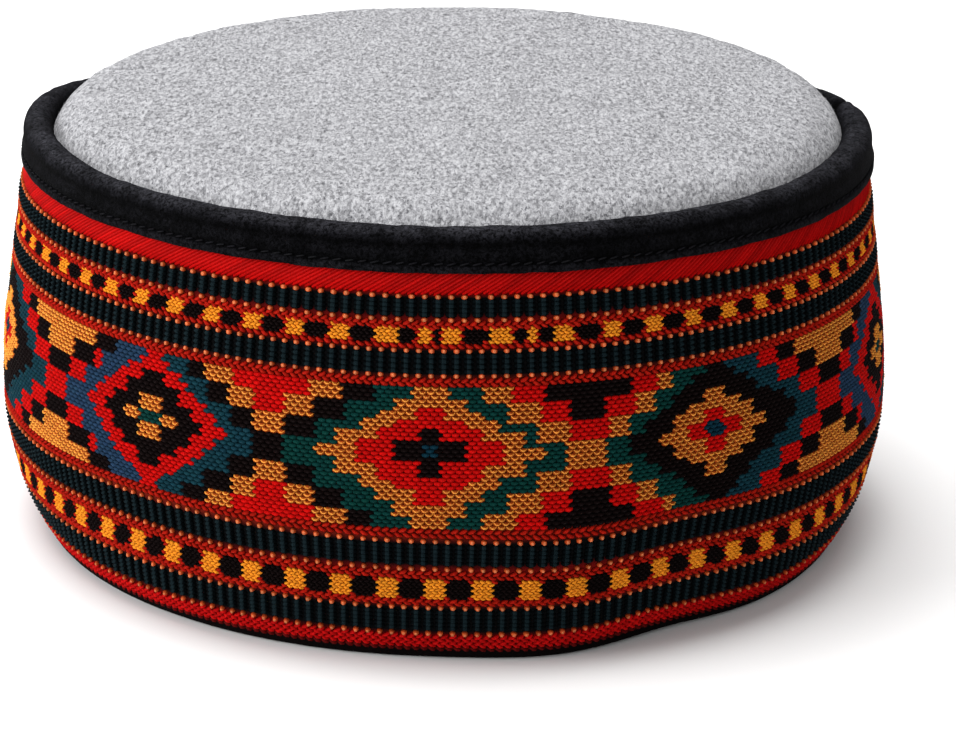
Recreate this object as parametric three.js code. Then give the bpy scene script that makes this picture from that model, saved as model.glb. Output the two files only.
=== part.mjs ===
// Round felt cap with a puffed crown and a tall patterned cuff bound in black cloth.
// Millimetres, +Z up. The front of the cap faces -Y and its right hand side is +X.
// The cap stands on its hem at z = 0, and the origin is the middle of the head opening.
// Azimuths are degrees round the cap, 0 at the front and positive towards +X.

import * as THREE from 'three';

// Sizes of the woven band
const hemRadius = 89.2;
const bellySwell = 9.5;
const neckRadius = 90.9;
const bandHeight = 89.7;
const bandWall = 1.8;
const hemRounding = 0.3;

// Sizes of the black binding
const bindingCloth = 0.9;
const bindingPuff = 0.2;
const bindingRoll = 1;
const rollStart = 60;
const rollEnd = 120;
const bindingDrop = 6.2;
const bindingTuck = 6.5;
const lapAzimuth = 95;
const lapWidth = 2;
const lapStep = 0.9;

// Sizes of the felt crown
const feltWall = 2;
const crownRise = 5.3;
const crownDome = 0.9;
const shoulderRadius = 14;
const shoulderFullness = 2.8;
const crownEase = 0.5;
const crownLift = 0.8;
const crownLeanRight = 1;
const crownLeanBack = 2;

// Fit between neighbouring pieces
const clearance = 0.3;

// Dent pressed into the lower right of the cap: a swell beside a hollow, which fades upwards
const dentAzimuth = 33;
const dentSpacing = 19;
const dentSpread = 10;
const dentDepth = 1.7;
const dentReach = 46;
const hemRaise = 0.5;

// Dip of the top edge behind the crown
const dipDepth = 4.5;
const dipStart = 90;
const dipFull = 130;
const dipReach = 30;

// Steps round the cap, and round each curved edge
const stepsRound = 64;
const stepsEdge = 4;
const stepsShoulder = 6;
const stepsDome = 4;

// How far the band stands out at each height.
// height: share of bandHeight. out: share of the way from the hem radius (below the belly)
// or from the neck radius (above the belly) out to the belly radius.
const bellyHeight = 0.37;
const bandLower = [
  { height: 0, out: 0 },
  { height: 0.035, out: 0.25 },
  { height: 0.12, out: 0.62 },
  { height: 0.2, out: 0.83 },
  { height: 0.29, out: 0.96 },
  { height: bellyHeight, out: 1 },
];
const bandUpper = [
  { height: bellyHeight, out: 1 },
  { height: 0.45, out: 0.97 },
  { height: 0.54, out: 0.87 },
  { height: 0.73, out: 0.54 },
  { height: 0.87, out: 0.34 },
  { height: 0.9, out: 0.22 },
  { height: 0.95, out: 0.08 },
  { height: 1, out: 0 },
];

// The crown's side swells by this share of the band's own bulge.
const crownSwell = 0.25;

// Curves and angles shared by the pieces

const radians = THREE.MathUtils.degToRad;
const blend = THREE.MathUtils.lerp;

function ease(value, from, to) {
  return THREE.MathUtils.smoothstep(value, from, to);
}

function angleBetween(azimuth, other) {
  return Math.abs(((azimuth - other + 540) % 360) - 180);
}

function rounded(azimuth, middle) {
  return Math.exp(-((angleBetween(azimuth, middle) / dentSpread) ** 2));
}

function readTable(table, height) {
  const next = Math.max(1, table.findIndex((row) => row.height >= height));
  const below = table[next - 1];
  const above = table[next];
  return blend(below.out, above.out, (height - below.height) / (above.height - below.height));
}

// Outer radius of the band before any dent, at a height in millimetres
function bandOuter(z) {
  const height = THREE.MathUtils.clamp(z / bandHeight, 0, 1);
  const belly = hemRadius + bellySwell;
  if (height < bellyHeight) return blend(hemRadius, belly, readTable(bandLower, height));
  return blend(neckRadius, belly, readTable(bandUpper, height));
}

function bandInner(z) {
  return bandOuter(z) - bandWall;
}

// Moves a point of an undented section to where it lies on the cap
function settle(azimuth, r, z) {
  const low = 1 - ease(z, 0, dentReach);
  const high = ease(z, bandHeight - dipReach, bandHeight);
  const swell = rounded(azimuth, dentAzimuth - dentSpacing);
  const hollow = rounded(azimuth, dentAzimuth);
  const dip = dipDepth * ease(angleBetween(azimuth, 0), dipStart, dipFull);
  return {
    r: r + dentDepth * (swell - hollow) * low,
    z: z + hemRaise * hollow * low - dip * high,
  };
}

// Closed body whose section is known at every azimuth. The points of a section run so that the
// material lies on their left: up the outside, over the top and down the inside.
// onAxis is for a section whose first and last points lie on the axis.
function loftRound(sectionAt, azimuths, onAxis) {
  const positions = [];
  const index = [];
  const rings = azimuths.map(sectionAt);
  const count = rings[0].length;
  const first = onAxis ? 1 : 0;
  const last = onAxis ? count - 1 : count;
  const perRing = last - first;

  rings.forEach((ring, turn) => {
    const angle = radians(azimuths[turn]);
    for (let i = first; i < last; i += 1) {
      const { r, z } = ring[i];
      positions.push(r * Math.sin(angle), -r * Math.cos(angle), z);
    }
  });

  const vertex = (turn, i) => (turn % rings.length) * perRing + (i % perRing);
  const steps = onAxis ? perRing - 1 : perRing;
  for (let turn = 0; turn < rings.length; turn += 1) {
    for (let i = 0; i < steps; i += 1) {
      const a = vertex(turn, i);
      const b = vertex(turn + 1, i);
      const c = vertex(turn + 1, i + 1);
      const d = vertex(turn, i + 1);
      index.push(a, b, c, a, c, d);
    }
  }

  if (onAxis) {
    const start = positions.length / 3;
    positions.push(0, 0, rings[0][0].z);
    positions.push(0, 0, rings[0][count - 1].z);
    for (let turn = 0; turn < rings.length; turn += 1) {
      index.push(start, vertex(turn + 1, 0), vertex(turn, 0));
      index.push(start + 1, vertex(turn, perRing - 1), vertex(turn + 1, perRing - 1));
    }
  }

  const geometry = new THREE.BufferGeometry();
  geometry.setAttribute('position', new THREE.Float32BufferAttribute(positions, 3));
  geometry.setIndex(index);
  geometry.computeVertexNormals();
  return geometry;
}

function evenAzimuths(start, span, steps) {
  return Array.from({ length: steps }, (_, step) => start + (span * step) / steps);
}

function piece(name, geometry, colour, roughness) {
  const material = new THREE.MeshStandardMaterial({ color: colour, roughness, metalness: 0 });
  const mesh = new THREE.Mesh(geometry, material);
  mesh.name = name;
  return mesh;
}

// Half round over a wall's top edge, from its outer face to its inner face
function halfRound(middleRadius, middleHeight, radius, steps) {
  return Array.from({ length: steps + 1 }, (_, step) => {
    const angle = (Math.PI * step) / steps;
    return {
      r: middleRadius + radius * Math.cos(angle),
      z: middleHeight + radius * Math.sin(angle),
    };
  });
}

// The band: a stiff woven strip sewn into a ring, barrel shaped, with a flat turned hem

const edgeRadius = bandWall / 2;
const edgeMiddle = neckRadius - edgeRadius;
const edgeHeight = bandHeight - edgeRadius;

function bandHeights() {
  const rows = [...bandLower.slice(1), ...bandUpper.slice(1, -1)];
  return rows.map((row) => row.height * bandHeight);
}

function bandSection(azimuth) {
  const heights = bandHeights();
  const section = [
    { r: hemRadius - hemRounding, z: 0 },
    { r: hemRadius, z: hemRounding },
    ...heights.map((z) => ({ r: bandOuter(z), z })),
    ...halfRound(edgeMiddle, edgeHeight, edgeRadius, stepsEdge),
    ...heights.reverse().map((z) => ({ r: bandInner(z), z })),
    { r: hemRadius - bandWall, z: hemRounding },
    { r: hemRadius - bandWall + hemRounding, z: 0 },
  ];
  return section.map(({ r, z }) => settle(azimuth, r, z));
}

// The binding: a napped strip folded over the band's top edge, wound once round the cap.
// It climbs outwards by lapStep in one turn, so its outer end lies over its inner end.
// In front its inner side is rolled in towards the crown, by bindingRoll at most.

const saddleRadius = edgeRadius + clearance;
const legShares = [0, 0.5, 1];

function lapRise(azimuth) {
  const behindEnd = (azimuth - lapAzimuth + 720) % 360;
  return lapStep * Math.min(behindEnd, 360) / 360;
}

function legHeights(reach) {
  return legShares.map((share) => edgeHeight - reach + share * (reach - edgeRadius));
}

function rollAt(azimuth, share) {
  const near = 1 - ease(angleBetween(azimuth, 0), rollStart, rollEnd);
  return bindingRoll * near * Math.max(0, Math.sin(Math.PI * (2 * share - 0.9)));
}

function bindingSection(azimuth) {
  const rise = lapRise(azimuth);
  const outerLeg = legHeights(bindingDrop);
  const innerLeg = legHeights(bindingTuck);
  const inside = [
    ...outerLeg.map((z) => ({ r: bandOuter(z) + clearance, z })),
    ...halfRound(edgeMiddle, edgeHeight, saddleRadius, stepsEdge),
    ...innerLeg.reverse().map((z) => ({ r: bandInner(z) - clearance, z })),
  ];
  const puffed = (share) => bindingCloth + bindingPuff * Math.sin(Math.PI * share);
  const steps = inside.length - 1;
  const outside = inside.map((point, i) => {
    const before = inside[Math.max(0, i - 1)];
    const after = inside[Math.min(steps, i + 1)];
    const along = new THREE.Vector2(after.r - before.r, after.z - before.z).normalize();
    const outwards = Math.max(0, along.y) * rise;
    const out = puffed(i / steps) + rollAt(azimuth, i / steps) + outwards;
    return { r: point.r + along.y * out, z: point.z - along.x * out };
  });
  return [...outside, ...inside.reverse()].map(({ r, z }) => settle(azimuth, r, z));
}

function bindingAzimuths() {
  return [...evenAzimuths(lapAzimuth, 360 - lapWidth, stepsRound), lapAzimuth + 360 - lapWidth];
}

// The crown: one felt cup. Its side stands inside the band from the hem up, and its round top
// is puffed above the binding with a soft shoulder.

const crownHemRadius = hemRadius - bandWall - clearance;
const crownRadius = neckRadius - bandWall - clearance - bindingCloth - crownEase;
const crownTop = bandHeight + crownRise;
const shoulderHeight = crownTop - shoulderRadius;
const sideShares = [0, 0.1, 0.25, 0.42, 0.6, 0.77, 0.9];

function crownSide(z) {
  const share = z / bandHeight;
  const bulge = bandOuter(z) - blend(hemRadius, neckRadius, share);
  const straight = blend(crownHemRadius, crownRadius, z / shoulderHeight);
  return straight + crownSwell * bulge * (1 - ease(z, shoulderHeight / 2, shoulderHeight));
}

// Points of the crown from the hem to the axis, moved inwards from the outer face by depth
function crownFace(depth) {
  const side = sideShares.map((share) => {
    const z = blend(crownLift, shoulderHeight, share);
    return { r: crownSide(z) - depth, z };
  });
  const radius = shoulderRadius - depth;
  const power = 2 / shoulderFullness;
  const shoulder = evenAzimuths(0, 90, stepsShoulder).map((angle) => ({
    r: crownRadius - shoulderRadius + radius * Math.cos(radians(angle)) ** power,
    z: shoulderHeight + radius * Math.sin(radians(angle)) ** power,
  }));
  const flat = crownRadius - shoulderRadius;
  const dome = Array.from({ length: stepsDome + 1 }, (_, step) => {
    const share = 1 - step / stepsDome;
    return { r: flat * share, z: crownTop - depth + crownDome * (1 - share ** 2) };
  });
  return [...side, ...shoulder, ...dome];
}

function crownSection(azimuth) {
  const outside = crownFace(0);
  const inside = crownFace(feltWall);
  const angle = radians(azimuth);
  const lean = crownLeanRight * Math.sin(angle) - crownLeanBack * Math.cos(angle);
  return [...inside.reverse(), ...outside].map(({ r, z }) => {
    const settled = settle(azimuth, r, Math.min(z, bandHeight / 2));
    const raised = lean * ease(z, bandHeight / 2, bandHeight) * (r / crownRadius);
    return { r: settled.r, z: Math.max(z, settled.z) + raised };
  });
}

// Assembly

const around = evenAzimuths(-180, 360, stepsRound);

const cap = new THREE.Group();
cap.add(piece('crown', loftRound(crownSection, around, true), 0xc3c3c8, 0.95));
cap.add(piece('band', loftRound(bandSection, around, false), 0xa83a22, 0.85));
cap.add(piece('binding', loftRound(bindingSection, bindingAzimuths(), false), 0x1c1c20, 0.9));

export default cap;
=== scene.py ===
import bpy
import math
import numpy as np
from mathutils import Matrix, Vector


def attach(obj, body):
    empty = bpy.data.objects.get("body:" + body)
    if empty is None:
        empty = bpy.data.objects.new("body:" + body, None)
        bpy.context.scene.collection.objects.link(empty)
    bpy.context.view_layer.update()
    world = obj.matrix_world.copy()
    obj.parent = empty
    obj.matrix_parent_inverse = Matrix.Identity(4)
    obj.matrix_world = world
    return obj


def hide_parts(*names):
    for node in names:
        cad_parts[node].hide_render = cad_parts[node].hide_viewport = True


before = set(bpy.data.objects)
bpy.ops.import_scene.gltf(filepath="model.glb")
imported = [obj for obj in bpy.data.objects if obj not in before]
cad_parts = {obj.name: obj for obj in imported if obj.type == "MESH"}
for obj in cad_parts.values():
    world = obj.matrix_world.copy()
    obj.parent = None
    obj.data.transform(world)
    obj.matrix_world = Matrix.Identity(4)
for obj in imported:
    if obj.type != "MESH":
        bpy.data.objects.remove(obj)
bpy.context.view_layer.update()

# Camera
# It stands in front of the cap and a little above it, with a long lens, and is turned under a
# degree. The small shift puts the cap a little left of the middle, as it was framed.
CAMERA_ELEVATION = math.radians(18.47)
CAMERA_DISTANCE = 0.7219
CAMERA_TARGET_HEIGHT = 0.04125
CAMERA_ROLL = math.radians(0.76)
CAMERA_SENSOR = 36
CAMERA_LENS = 120.7
CAMERA_SHIFT = (0.0352, -0.0417)
scene = bpy.context.scene


def linked(name, data):
    """A new object in the scene."""
    made = bpy.data.objects.new(name, data)
    scene.collection.objects.link(made)
    return made


camera_data = bpy.data.cameras.new("camera")
camera_data.sensor_width = CAMERA_SENSOR
camera_data.lens = CAMERA_LENS
camera_data.shift_x, camera_data.shift_y = CAMERA_SHIFT
camera_data.dof.use_dof = False
camera = linked("camera", camera_data)
camera.location = (
    0,
    -CAMERA_DISTANCE * math.cos(CAMERA_ELEVATION),
    CAMERA_TARGET_HEIGHT + CAMERA_DISTANCE * math.sin(CAMERA_ELEVATION),
)
camera.rotation_mode = "ZYX"
camera.rotation_euler = (math.pi / 2 - CAMERA_ELEVATION, 0, CAMERA_ROLL)
scene.camera = camera

# Studio
# A pale floor under a wide soft light that hangs over the cap, a little to its left and behind it,
# with other wide ones before it and far to its left, and an even white surround that softens shadows.
FLOOR_REACH = 4.0
FLOOR_PALE = (0.78, 0.78, 0.78, 1)
SURROUND_STRENGTH = 0.37
CAP_MIDDLE = (0, 0, 0.05)
scene.view_settings.view_transform = "Standard"
world = bpy.data.worlds.new("surround")
world.use_nodes = True
world.node_tree.nodes["Background"].inputs["Color"].default_value = (1, 1, 1, 1)
world.node_tree.nodes["Background"].inputs["Strength"].default_value = SURROUND_STRENGTH
scene.world = world


def shine(name, place, size, power):
    """A square soft light that points at the middle of the cap."""
    light = bpy.data.lights.new(name, "AREA")
    light.size = size
    light.energy = power
    lamp = linked(name, light)
    lamp.location = place
    toward = Vector(CAP_MIDDLE) - Vector(place)
    lamp.rotation_mode = "QUATERNION"
    lamp.rotation_quaternion = toward.to_track_quat("-Z", "Y")


shine("key_light", place=(-0.2, 0.2, 1.35), size=1.3, power=32)
shine("front_light", place=(0.2, -1.6, 0.7), size=1.6, power=9)
shine("left_light", place=(-1.6, -0.55, 0.6), size=1.2, power=36)

floor_mesh = bpy.data.meshes.new("floor")
floor_mesh.from_pydata(
    [(x * FLOOR_REACH, y * FLOOR_REACH, 0) for x, y in ((-1, -1), (1, -1), (1, 1), (-1, 1))],
    [],
    [(0, 1, 2, 3)],
)
floor = linked("floor", floor_mesh)
floor_paint = bpy.data.materials.new("floor_paint")
floor_paint.use_nodes = True
floor_shader = floor_paint.node_tree.nodes["Principled BSDF"]
floor_shader.inputs["Base Color"].default_value = FLOOR_PALE
floor_shader.inputs["Roughness"].default_value = 0.9
floor_shader.inputs["Specular IOR Level"].default_value = 0.1
floor_mesh.materials.append(floor_paint)

# Crown
# One cup of grey heathered wool felt, blocked over a round form. Its side goes down inside the
# band to the hem, and its top is puffed above the binding. Loose fibres stand off its face.
MM = 0.001
CROWN_HEM_RADIUS = 87.1
CROWN_RADIUS = 87.4
CROWN_TOP = 95.0
CROWN_DOME = 0.9
CROWN_SHOULDER = 14.0
CROWN_FULLNESS = 2.8
CROWN_LIFT = 0.8
CROWN_LEAN_RIGHT = 1.0
CROWN_LEAN_BACK = 2.0
CROWN_FOLLOWS = 0.25
CROWN_SIDE_LEVELS = 18
AROUND_STEP = 1.5
FELT_WALL = 2.0
FELT_LUMP = 0.16
PUFF_LOW, PUFF_HIGH = 78, 90
BAND_HEIGHT = 89.7
HEM_RADIUS = 89.2
BELLY_RADIUS = 98.7
NECK_RADIUS = 90.9
BELLY_SHARE = 0.37
BARREL_SOFTNESS = 2.5
DENT_AZIMUTH = 33
DENT_SPACING = 19
DENT_SPREAD = 10
DENT_DEPTH = 1.7
DENT_REACH = 46
HEM_RAISE = 0.5
DIP_DEPTH = 4.5
DIP_FADE = (90, 130)
DIP_REACH = 30


def eased(value, start, end):
    """0 up to start, 1 from end on, and a smooth rise between them."""
    share = np.clip((value - start) / (end - start), 0, 1)
    return share * share * (3 - 2 * share)


def turn_between(azimuth, other):
    """Degrees from one azimuth to the other, the shorter way round."""
    return np.abs((azimuth - other + 540) % 360 - 180)


def settle(azimuth, radius, height):
    """Where a point of the plain round form lies on the dented cap. Degrees and millimetres."""
    swell = np.exp(-((turn_between(azimuth, DENT_AZIMUTH - DENT_SPACING) / DENT_SPREAD) ** 2))
    hollow = np.exp(-((turn_between(azimuth, DENT_AZIMUTH) / DENT_SPREAD) ** 2))
    low = 1 - eased(height, 0, DENT_REACH)
    high = eased(height, BAND_HEIGHT - DIP_REACH, BAND_HEIGHT)
    dip = DIP_DEPTH * eased(turn_between(azimuth, 0), *DIP_FADE)
    return radius + DENT_DEPTH * (swell - hollow) * low, height + HEM_RAISE * hollow * low - dip * high


def placed(azimuth, radius, height):
    """Points in metres from degrees round the cap, 0 at the front, and millimetres."""
    angle = np.radians(azimuth)
    points = np.stack(np.broadcast_arrays(radius * np.sin(angle), -radius * np.cos(angle), height), -1)
    return points * MM


def soft_lumps(points, wavelength, seed, waves=12, evened=3.5):
    """Smooth random values, mostly between -1 and 1, with lumps of about the wavelength."""
    random = np.random.default_rng(seed)
    total = 0
    for _ in range(waves):
        direction = random.normal(size=3)
        direction *= 2 * math.pi * random.uniform(0.7, 1.4) / wavelength / np.linalg.norm(direction)
        total = total + np.sin(points @ direction + random.uniform(0, 2 * math.pi))
    return total / evened


def smooth_object(name, points, faces):
    """A mesh object with smooth shading."""
    mesh = bpy.data.meshes.new(name)
    mesh.from_pydata(points, [], faces)
    mesh.polygons.foreach_set("use_smooth", [True] * len(mesh.polygons))
    return linked(name, mesh)


def lofted(name, rings, section_closed=False, poles=None):
    """Mesh object through rings of points, with faces out where the rings go up an outer face."""
    levels, count = rings.shape[:2]
    points = [tuple(p) for p in rings.reshape(-1, 3)]
    faces = []
    for level in range(levels if section_closed else levels - 1):
        above = (level + 1) % levels
        for turn in range(count):
            beside = (turn + 1) % count
            faces.append((level * count + turn, level * count + beside,
                          above * count + beside, above * count + turn))
    if poles is not None:
        first, last = len(points), (levels - 1) * count
        points += [tuple(p) for p in poles]
        for turn in range(count):
            beside = (turn + 1) % count
            faces.append((first, beside, turn))
            faces.append((last + turn, last + beside, first + 1))
    return smooth_object(name, points, faces)


def bulge_at(height):
    """The band's radius at a height. The barrel's shape is a table of how far out towards its belly
    it is at each share of its height, smoothed over a few millimetres."""
    shares = np.array([-0.06, 0, 0.035, 0.12, 0.2, 0.29, 0.37, 0.45, 0.54, 0.73, 0.87, 0.9, 0.95, 1, 1.1])
    outs = np.array([-0.43, 0, 0.25, 0.62, 0.83, 0.96, 1, 0.97, 0.87, 0.54, 0.34, 0.22, 0.08, 0, 0])
    foot = np.where(shares < BELLY_SHARE, HEM_RADIUS, NECK_RADIUS)
    radii = foot + outs * (BELLY_RADIUS - foot)
    spread = np.linspace(-BARREL_SOFTNESS, BARREL_SOFTNESS, 7)
    return np.mean([np.interp(height + s, shares * BAND_HEIGHT, radii) for s in spread], axis=0)


def crown_section(depth, sides, shoulders, domes):
    """Radii and heights from the hem to near the axis, so far inside the felt's outer face."""
    shoulder_height = CROWN_TOP - CROWN_SHOULDER
    side = np.linspace(CROWN_LIFT, shoulder_height, sides)
    bulge = bulge_at(side) - np.interp(side, [0, BAND_HEIGHT], [HEM_RADIUS, NECK_RADIUS])
    straight = np.interp(side, [0, shoulder_height], [CROWN_HEM_RADIUS, CROWN_RADIUS])
    side_radii = straight + CROWN_FOLLOWS * bulge * (1 - eased(side, shoulder_height / 2, shoulder_height))
    angles = np.radians(np.linspace(0, 90, shoulders + 1))[1:]
    across = np.abs(np.cos(angles)) ** (2 / CROWN_FULLNESS)
    up = np.sin(angles) ** (2 / CROWN_FULLNESS)
    flat = CROWN_RADIUS - CROWN_SHOULDER
    shares = np.linspace(1, 0, domes + 1)[1:-1]
    radii = [side_radii - depth, flat + (CROWN_SHOULDER - depth) * across, flat * shares]
    heights = [side, shoulder_height + (CROWN_SHOULDER - depth) * up,
               CROWN_TOP - depth + CROWN_DOME * (1 - shares**2)]
    return np.concatenate(radii), np.concatenate(heights)


def crown_points(radii, heights, around):
    """A ring for each radius and height, with the crown's lean and the dent."""
    radius, height = radii[:, None], heights[:, None]
    angle = np.radians(around)[None, :]
    lean = CROWN_LEAN_RIGHT * np.sin(angle) - CROWN_LEAN_BACK * np.cos(angle)
    raised = lean * eased(height, BAND_HEIGHT / 2, BAND_HEIGHT) * radius / CROWN_RADIUS
    radius, settled = settle(around[None, :], radius, np.minimum(height, BAND_HEIGHT / 2))
    return placed(around[None, :], radius, np.maximum(height, settled) + raised)


all_round = np.arange(0, 360, AROUND_STEP)
inner_radii, inner_heights = crown_section(FELT_WALL, sides=12, shoulders=8, domes=10)
outer_radii, outer_heights = crown_section(0, CROWN_SIDE_LEVELS, shoulders=16, domes=30)
crown_rings = crown_points(
    np.concatenate([inner_radii[::-1], outer_radii]),
    np.concatenate([inner_heights[::-1], outer_heights]),
    all_round,
)
lumps = soft_lumps(crown_rings / MM, wavelength=11, seed=3)
lumps += 0.6 * soft_lumps(crown_rings / MM, wavelength=5, seed=4)
puffed = eased(crown_rings[..., 2:] / MM, PUFF_LOW, PUFF_HIGH)
crown_rings[..., 2:] += lumps[..., None] * FELT_LUMP * MM * puffed
crown_poles = placed(np.zeros(2), np.zeros(2), np.array([CROWN_TOP - FELT_WALL, CROWN_TOP]) + CROWN_DOME)
crown = lofted("crown_felt", crown_rings, poles=crown_poles)


def linear(red, green, blue):
    """Scene colour from the 0 to 255 colour of a dye as it is seen."""
    seen = np.array([red, green, blue]) / 255
    return tuple(np.where(seen <= 0.04045, seen / 12.92, ((seen + 0.055) / 1.055) ** 2.4)) + (1,)


def cloth_material(name, roughness, sheen=0.0, sheen_colour=(1, 1, 1, 1)):
    """An empty cloth material, with its node tree and its shader."""
    made = bpy.data.materials.new(name)
    made.use_nodes = True
    shader = made.node_tree.nodes["Principled BSDF"]
    shader.inputs["Roughness"].default_value = roughness
    shader.inputs["Specular IOR Level"].default_value = 0.02
    shader.inputs["Sheen Weight"].default_value = sheen
    shader.inputs["Sheen Roughness"].default_value = 0.5
    shader.inputs["Sheen Tint"].default_value = sheen_colour
    return made, made.node_tree, shader


def add_noise(tree, scale, detail, distortion=0.0, stretch=(1, 1, 1)):
    """The value of a noise laid over the piece. The scale is in lumps for each metre."""
    place = tree.nodes.new("ShaderNodeTexCoord")
    mapping = tree.nodes.new("ShaderNodeMapping")
    mapping.inputs["Scale"].default_value = stretch
    noise = tree.nodes.new("ShaderNodeTexNoise")
    noise.inputs["Scale"].default_value = scale
    noise.inputs["Detail"].default_value = detail
    noise.inputs["Roughness"].default_value = 0.65
    noise.inputs["Distortion"].default_value = distortion
    tree.links.new(place.outputs["Object"], mapping.inputs["Vector"])
    tree.links.new(mapping.outputs["Vector"], noise.inputs["Vector"])
    return noise.outputs["Fac"]


def add_ramp(tree, value, stops):
    """A colour that follows the value through stops of (value, colour). A number is a grey."""
    ramp = tree.nodes.new("ShaderNodeValToRGB")
    while len(ramp.color_ramp.elements) < len(stops):
        ramp.color_ramp.elements.new(0.5)
    for element, (where, colour) in zip(ramp.color_ramp.elements, stops):
        element.position = where
        element.color = colour if isinstance(colour, tuple) else (colour, colour, colour, 1)
    tree.links.new(value, ramp.inputs["Fac"])
    return ramp.outputs["Color"]


def add_mottle(tree, stops, **noise):
    """A colour that follows a noise through the stops."""
    return add_ramp(tree, add_noise(tree, **noise), stops)


def add_mix(tree, kind, colour, *others):
    """Colours multiplied or added together, one after the other."""
    for other in others:
        mix = tree.nodes.new("ShaderNodeMix")
        mix.data_type = "RGBA"
        mix.blend_type = kind
        mix.inputs[0].default_value = 1.0
        tree.links.new(colour, mix.inputs[6])
        tree.links.new(other, mix.inputs[7])
        colour = mix.outputs[2]
    return colour


def add_bump(tree, shader, height, strength, distance):
    """Fine relief of the shader's surface, whose full depth is the distance in metres."""
    bump = tree.nodes.new("ShaderNodeBump")
    bump.inputs["Strength"].default_value = strength
    bump.inputs["Distance"].default_value = distance
    tree.links.new(height, bump.inputs["Height"])
    tree.links.new(bump.outputs["Normal"], shader.inputs["Normal"])


# The felt's grain is a little longer from front to back than across
FELT_GRAIN = (1, 0.42, 0.8)
felt, felt_tree, felt_shader = cloth_material(
    "grey_felt", roughness=0.95, sheen=0.24, sheen_colour=(0.9, 0.9, 0.92, 1))
heather_greys = [(0.34, linear(86, 86, 89)), (0.48, linear(136, 136, 139)), (0.62, linear(173, 173, 176))]
heather = add_mottle(felt_tree, heather_greys, scale=1350, detail=5, distortion=0.5, stretch=FELT_GRAIN)
specks = add_mottle(felt_tree, [(0.34, (0.3, 0.3, 0.32, 1)), (0.42, 1)],
                    scale=1500, detail=3, distortion=0.4, stretch=FELT_GRAIN)
clouds = add_mottle(felt_tree, [(0.3, 0.9), (0.7, 1)], scale=90, detail=4)
felt_colour = add_mix(felt_tree, "MULTIPLY", heather, specks, clouds)
felt_tree.links.new(felt_colour, felt_shader.inputs["Base Color"])
felt_relief = add_noise(felt_tree, scale=1300, detail=7, distortion=1.2)
add_bump(felt_tree, felt_shader, felt_relief, strength=0.9, distance=0.0005)
crown.data.materials.append(felt)
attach(crown, "root")
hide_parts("crown")


def start_tree(name, sockets):
    """A Geometry Nodes tree with named inputs, given as (name, kind), after its geometry."""
    tree = bpy.data.node_groups.new(name, "GeometryNodeTree")
    tree.interface.new_socket("Geometry", in_out="INPUT", socket_type="NodeSocketGeometry")
    for label, kind in sockets:
        tree.interface.new_socket(label, in_out="INPUT", socket_type="NodeSocket" + kind)
    tree.interface.new_socket("Geometry", in_out="OUTPUT", socket_type="NodeSocketGeometry")
    return tree, tree.nodes.new("NodeGroupInput").outputs, tree.nodes.new("NodeGroupOutput").inputs[0]


def add_node(tree, kind, links=(), **settings):
    """A node with settings, and with sockets linked from others or set to values."""
    node = tree.nodes.new(kind)
    for key, value in settings.items():
        setattr(node, key, value)
    for socket, given in dict(links).items():
        if hasattr(given, "links"):
            tree.links.new(given, node.inputs[socket])
        else:
            node.inputs[socket].default_value = given
    return node


def finish_tree(tree, instances, material_input, output):
    """Makes the instances real and gives them their material."""
    real = add_node(tree, "GeometryNodeRealizeInstances", {"Geometry": instances})
    dressed = add_node(tree, "GeometryNodeSetMaterial",
                       {"Geometry": real.outputs["Geometry"], "Material": material_input})
    tree.links.new(dressed.outputs["Geometry"], output)


def grown(name, source, tree, values):
    """Plain mesh that the tree makes from the source object, with inputs set by their names."""
    modifier = source.modifiers.new(tree.name, "NODES")
    modifier.node_group = tree
    for item in tree.interface.items_tree:
        if item.in_out == "INPUT" and item.name in values:
            modifier[item.identifier] = values[item.name]
    view = bpy.context.evaluated_depsgraph_get()
    mesh = bpy.data.meshes.new_from_object(source.evaluated_get(view))
    mesh.name = name
    source.modifiers.remove(modifier)
    return linked(name, mesh)


# Fibres of the felt: fine hairs that lean far over and arch just off its face. Each one is a bent
# tapered spike, and Geometry Nodes scatter them over the shown part of the crown.
FIBRE_LENGTH = 1.3
FIBRE_WIDTH = 0.035
FIBRE_BEND = 0.7
FIBRE_TILT = math.radians(62)
FIBRE_SIZES = (0.45, 1.25)
FIBRE_DENSITY = 230000.0


def bent_fibre(name, length, width, bend):
    """A three-sided tapered hair along +Z that bends towards +X. Millimetres.
    A level is (share of the length, share of the bend, share of the width)."""
    levels = [(0, 0, 1), (0.6, 0.35, 0.8)]
    corners = [(math.cos(a), math.sin(a)) for a in np.radians([0, 120, 240])]
    rings = [[((bend * out + x * width * wide) * MM, y * width * wide * MM, length * up * MM)
              for x, y in corners] for up, out, wide in levels]
    points = [p for ring in rings for p in ring] + [(bend * MM, 0, length * 0.95 * MM)]
    faces = [(0, 2, 1)]
    faces += [(i, (i + 1) % 3, 3 + (i + 1) % 3, 3 + i) for i in range(3)]
    faces += [(3 + i, 3 + (i + 1) % 3, 6) for i in range(3)]
    return smooth_object(name, points, faces)


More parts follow.
